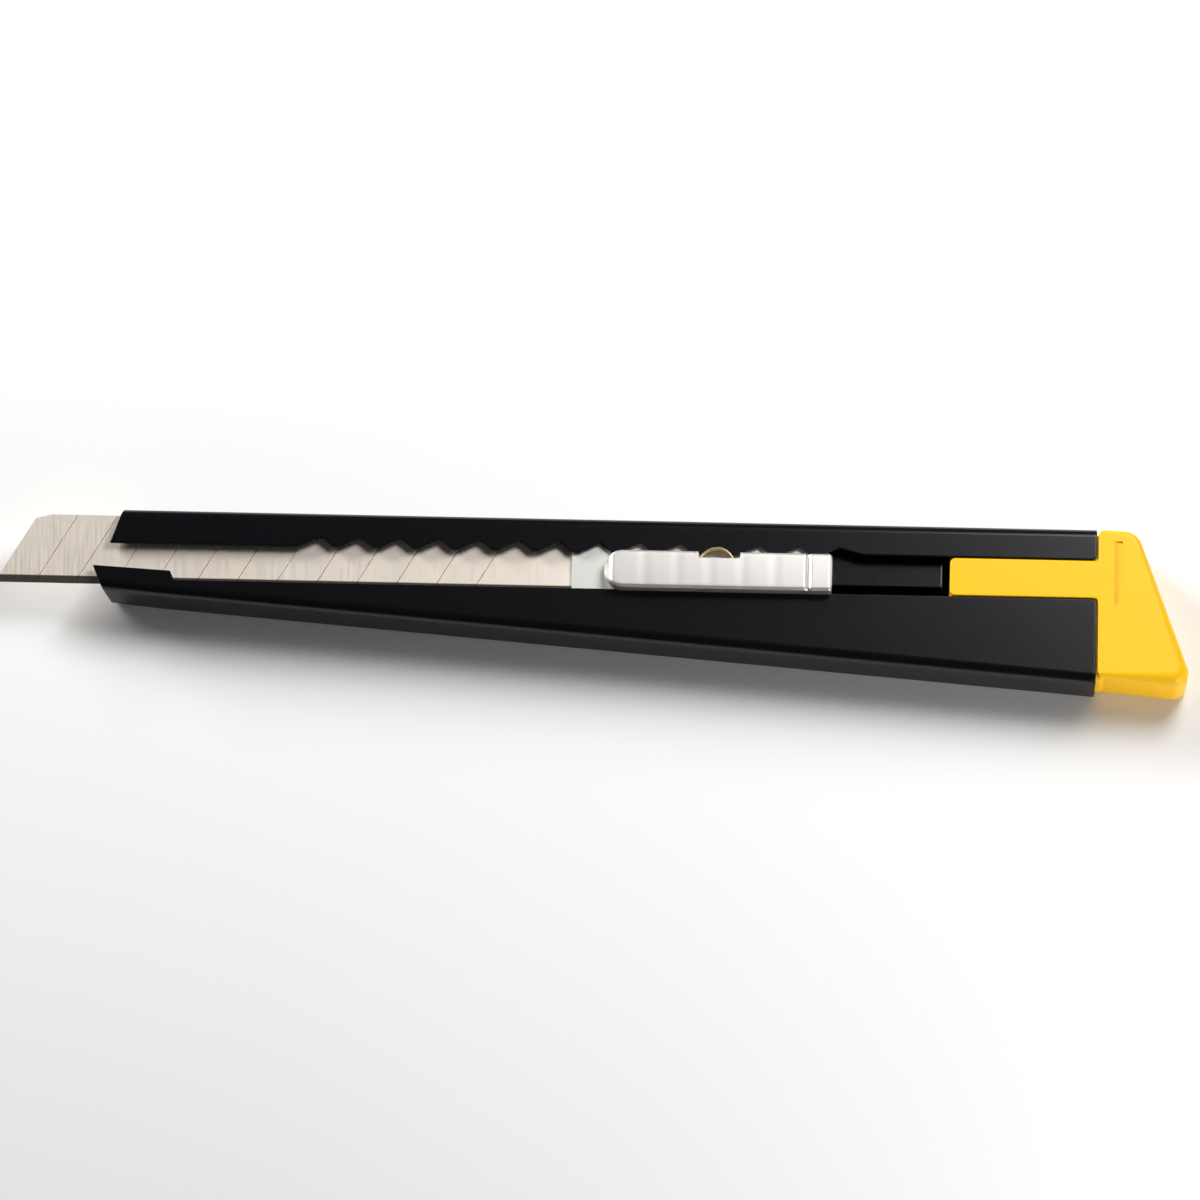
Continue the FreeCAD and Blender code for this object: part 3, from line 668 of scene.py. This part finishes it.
def makeThumbPiece():
    # Stations along x times a closed loop round the section: flat underside, straight sides,
    # a quarter circle at each upper edge and a slightly crowned top.  In plan the half width
    # follows a circle at the nose and a small one at each rear corner
    t = thumb
    front, rear, down0, down1, low, top = nodeBox("slider_knob")
    half, middle = (down1 - down0) / 2, (down0 + down1) / 2
    noseRound = t["noseRound"] * 2 * half
    turn = np.linspace(0, math.pi / 2, 15)
    nose = front + noseRound * (1 - np.cos(turn))
    body = np.arange(nose[-1] + 0.15, rear - t["rearRound"] - 0.1, 0.15)
    tail = rear - t["rearRound"] * (1 - np.sin(turn[::2]))
    x = np.concatenate([nose, body, tail])[:, None]
    into = np.clip(front + noseRound - x, 0, noseRound)
    outOf = np.clip(x - (rear - t["rearRound"]), 0, t["rearRound"])
    plan = half - noseRound + np.sqrt(np.maximum(noseRound ** 2 - into ** 2, 0))
    plan = plan - t["rearRound"] + np.sqrt(np.maximum(t["rearRound"] ** 2 - outOf ** 2, 0))
    height = thumbTop(x, front, rear, top) - outOf * t["rearFall"]
    height = np.maximum(height, t["skirt"] + t["leastHeight"])
    edge = np.minimum(t["edge"], np.minimum(height - t["skirt"], plan) * t["edgeShare"])
    arc = np.linspace(0, math.pi / 2, 9)[None]
    share = np.linspace(1, -1, 15)[None, 1:-1]
    fullness = np.clip((height - t["skirt"]) / (top - t["skirt"]), 0, 1)
    crown = t["crown"] * (1 - share ** 2) * fullness
    flatHalf = plan - edge
    side = np.concatenate([plan + 0 * arc[:, :2], flatHalf + edge * np.cos(arc), flatHalf * share,
                           -(flatHalf + edge * np.cos(arc[:, ::-1])), -plan + 0 * arc[:, :2]], 1)
    lift = t["crown"]
    halfway = t["skirt"] + (height - edge - t["skirt"] - lift) * 0.5
    high = np.concatenate([
        t["skirt"] + 0 * x, halfway,
        height - lift - edge + edge * np.sin(arc), height - lift + crown,
        height - lift - edge + edge * np.sin(arc[:, ::-1]),
        halfway, t["skirt"] + 0 * x], 1)
    rows, columns = side.shape
    points = toFrame(x, middle - side, high)
    piece = newPiece("thumbPiece", points, [loopFaces(rows, columns), *endFaces(rows, columns)])
    upper, lower = channel["slotTop"] + t["neckGap"], channel["slotBottom"] - t["neckGap"]
    left, right = front + t["neckFront"], rear - t["neckRear"]
    noseCorner, rearCorner = t["neckCorner"], t["neckRearCorner"]
    neck = roundedSlab("thumbNeck", [
        (left, upper, noseCorner), (right, upper, rearCorner),
        (right, lower, rearCorner), (left, lower, noseCorner)],
        low, t["skirt"] + t["neckOverlap"], t["neckRims"])
    combine(piece, neck, "UNION")
    centre = sum(nodeBox("detent_spring")[:2]) / 2 + t["windowShift"]
    left, right = centre - t["windowWidth"] / 2, centre + t["windowWidth"] / 2
    aside, below, above = t["windowOver"]
    outside, inside = down0 - aside, down0 + t["windowDepth"]
    window = roundedSlab("thumbWindow", [
        (left, outside, t["windowMouth"]), (right, outside, t["windowMouth"]),
        (right, inside, t["windowRound"]), (left, inside, t["windowRound"])],
        low - below, top + above, (0.0, 0.0))
    combine(piece, window, "DIFFERENCE")
    return smoothShading(piece, degrees=38)


thumbPiece = dress(makeThumbPiece(), nickelPlate)
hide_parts("slider_knob")
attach(thumbPiece, "slider")
print("thumb piece pressed:", len(thumbPiece.data.polygons), "faces")


# the detent spring: a thin strip bent to a loop with two legs
spring = {
    "strip": 0.2, "height": 1.4,
    "legShare": 0.72,        # the legs lie this many outside radii below the loop's middle
    "kneePasses": 6,         # more passes give rounder knees
    "round": 0.06,           # rounding of the strip's long edges
}


def springPath():
    # centre line of the strip: a leg, three quarters of a turn over the top, and a leg.  The
    # knees between them are rounded by a few passes of averaging neighbours
    s = spring
    x0, x1, down0, down1, low, _ = nodeBox("detent_spring")
    outside = (down1 - down0) / (1 + s["legShare"])
    middleX, middleDown = (x0 + x1) / 2, down0 + outside
    radius = outside - s["strip"] / 2
    legDown = down1 - s["strip"] / 2
    drop = (legDown - middleDown) / radius
    foot = math.asin(drop)
    angle = np.linspace(math.pi + foot, -foot, 90)
    loopX = middleX + radius * np.cos(angle)
    loopDown = middleDown - radius * np.sin(angle)
    reach = np.linspace(0, 1, 30)[:-1]
    legX = x0 + (loopX[0] - x0) * reach
    path = np.stack([np.concatenate([legX, loopX, (2 * middleX - legX)[::-1]]),
                     np.concatenate([legDown + 0 * legX, loopDown, legDown + 0 * legX])], -1)
    step = np.concatenate([[0], np.cumsum(np.hypot(*np.diff(path, axis=0).T))])
    even = np.linspace(0, step[-1], 220)
    path = np.stack([np.interp(even, step, path[:, k]) for k in (0, 1)], -1)
    for _ in range(s["kneePasses"]):
        path[1:-1] = (path[:-2] + 2 * path[1:-1] + path[2:]) / 4
    return path, low


def makeSpringLoop():
    # a rounded rectangle carried along the path: its corners are circle points spread apart
    s = spring
    path, low = springPath()
    tangent = np.gradient(path, axis=0)
    tangent /= np.linalg.norm(tangent, axis=1, keepdims=True)
    normal = np.stack([-tangent[:, 1], tangent[:, 0]], -1)
    around = 16              # points of the section
    angle = np.arange(around) / around * 2 * math.pi + math.pi / around
    across = s["round"] * np.cos(angle) + np.sign(np.cos(angle)) * (s["strip"] / 2 - s["round"])
    up = s["round"] * np.sin(angle) + np.sign(np.sin(angle)) * (s["height"] / 2 - s["round"])
    plan = path[:, None, :] + normal[:, None, :] * across[None, :, None]
    points = toFrame(plan[..., 0], plan[..., 1], (low + s["height"] / 2 + up)[None])
    rows, columns = len(path), len(angle)
    loop = newPiece("springLoop", points, [loopFaces(rows, columns), *endFaces(rows, columns)])
    return smoothShading(loop, degrees=40)


springLoop = dress(makeSpringLoop(), temperedSpringSteel)
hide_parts("detent_spring")
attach(springLoop, "slider")
print("spring bent:", len(springLoop.data.polygons), "faces")


# places and sizes on the stage are in metres, a finish's grain stays in millimetres
camera = {
    "elevation": 72.0, "roll": 1.2, "distance": 1.8, "sensor": 36.0,      # the sensor in mm
    "target": (0.001037, 0.000442, 0.0036), "viewWidth": 0.15094, "clip": (0.1, 20.0),
}


def placeCamera():
    # looks down at the target from the front; turned about its own axis by the roll
    elevation = math.radians(camera["elevation"])
    back = Vector((0, -math.cos(elevation), math.sin(elevation)))
    data = bpy.data.cameras.new("camera")
    data.sensor_width = camera["sensor"]
    data.lens = camera["sensor"] * camera["distance"] / camera["viewWidth"]
    data.clip_start, data.clip_end = camera["clip"]
    holder = bpy.data.objects.new("camera", data)
    bpy.context.scene.collection.objects.link(holder)
    roll = Matrix.Rotation(math.radians(camera["roll"]), 3, "Z")
    turn = back.to_track_quat("Z", "Y").to_matrix() @ roll
    place = Vector(camera["target"]) + back * camera["distance"]
    holder.matrix_world = Matrix.Translation(place) @ turn.to_4x4()
    bpy.context.scene.camera = holder


floor = {"size": 3.0, "colour": "FCFBFA", "otherColour": "FAF9F7", "gap": 0.00005}


def makeFloor():
    half = floor["size"] / 2
    points = [(-half, -half, 0), (half, -half, 0), (half, half, 0), (-half, half, 0)]
    piece = newPiece("floor", points, [[[0, 1, 2, 3]]])
    piece.data.transform(Matrix.Translation((0, 0, -floor["gap"])))
    dress(piece, makeFinish("paleFloor", {
        "colour": floor["colour"], "otherColour": floor["otherColour"], "metallic": 0.0,
        "roughness": 0.8, "spread": 0.02, "grain": (2.0, 2.0, 2.0), "relief": 0.0,
        "drift": 60.0, "more": {"Specular IOR Level": 0.1}}))


worldStrength = 0.045        # an even white glow from all round

# place, size, power in watts and target of each soft light
softLights = {
    "leftLow": ((-0.50, 0.35, 0.25), (0.30, 0.20), 5.4, (0.0, 0.0, 0.0)),
    "rightAbove": ((0.17, 0.16, 0.28), (0.20, 0.20), 0.2, (0.0, 0.0, 0.0)),
    "rightNear": ((0.12, 0.13, 0.20), (0.10, 0.12), 0.38, (0.0, 0.0, 0.0)),
    "frontFill": ((0.17, -0.16, 0.05), (0.12, 0.08), 0.24, (0.066, 0.0, 0.003)),
}


def placeLights():
    for name, (place, size, power, target) in softLights.items():
        data = bpy.data.lights.new(name, "AREA")
        data.shape = "RECTANGLE"
        data.size, data.size_y = size
        data.energy = power
        light = bpy.data.objects.new(name, data)
        bpy.context.scene.collection.objects.link(light)
        turn = (Vector(place) - Vector(target)).to_track_quat("Z", "Y").to_matrix()
        light.matrix_world = Matrix.Translation(place) @ turn.to_4x4()
    world = bpy.data.worlds.new("studio")
    world.use_nodes = True
    background = world.node_tree.nodes["Background"]
    background.inputs["Color"].default_value = (1.0, 1.0, 1.0, 1.0)
    background.inputs["Strength"].default_value = worldStrength
    bpy.context.scene.world = world


bpy.context.scene.view_settings.view_transform = "Standard"
placeCamera()
makeFloor()
placeLights()
print("stage set")
